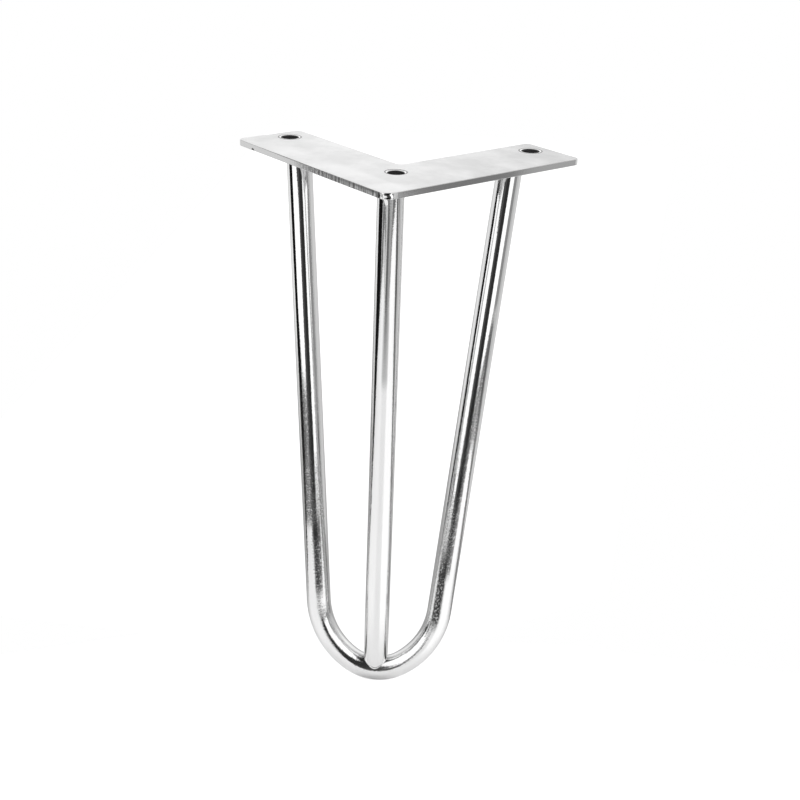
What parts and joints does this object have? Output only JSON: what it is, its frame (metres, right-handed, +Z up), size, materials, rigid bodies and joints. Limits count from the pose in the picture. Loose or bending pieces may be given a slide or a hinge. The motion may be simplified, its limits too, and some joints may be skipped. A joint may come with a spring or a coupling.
{
  "type": "hairpin table leg",
  "caption": "Short chromed hairpin table leg: a bent round bar and a straight corner bar welded under an L-shaped screw plate with countersunk holes.",
  "frame": {"origin": "on the plate's top face, over the upper end of the straight corner bar", "axes": "+Z up into the table top and along the leg's height, -Y out through the plate's outer corner, X across the hairpin; the leg is symmetric about the YZ plane"},
  "size_m": [0.1616, 0.1043, 0.254],
  "materials": {
    "plate": "satin chrome plate",
    "bars": "bright chrome plate",
    "welds": "chrome plate over weld metal"
  },
  "bodies": {
    "root": {"top_plate": "plate", "hairpin_rod": "bars", "corner_rod": "bars", "plate_welds": "welds"}
  },
  "joints": []
}
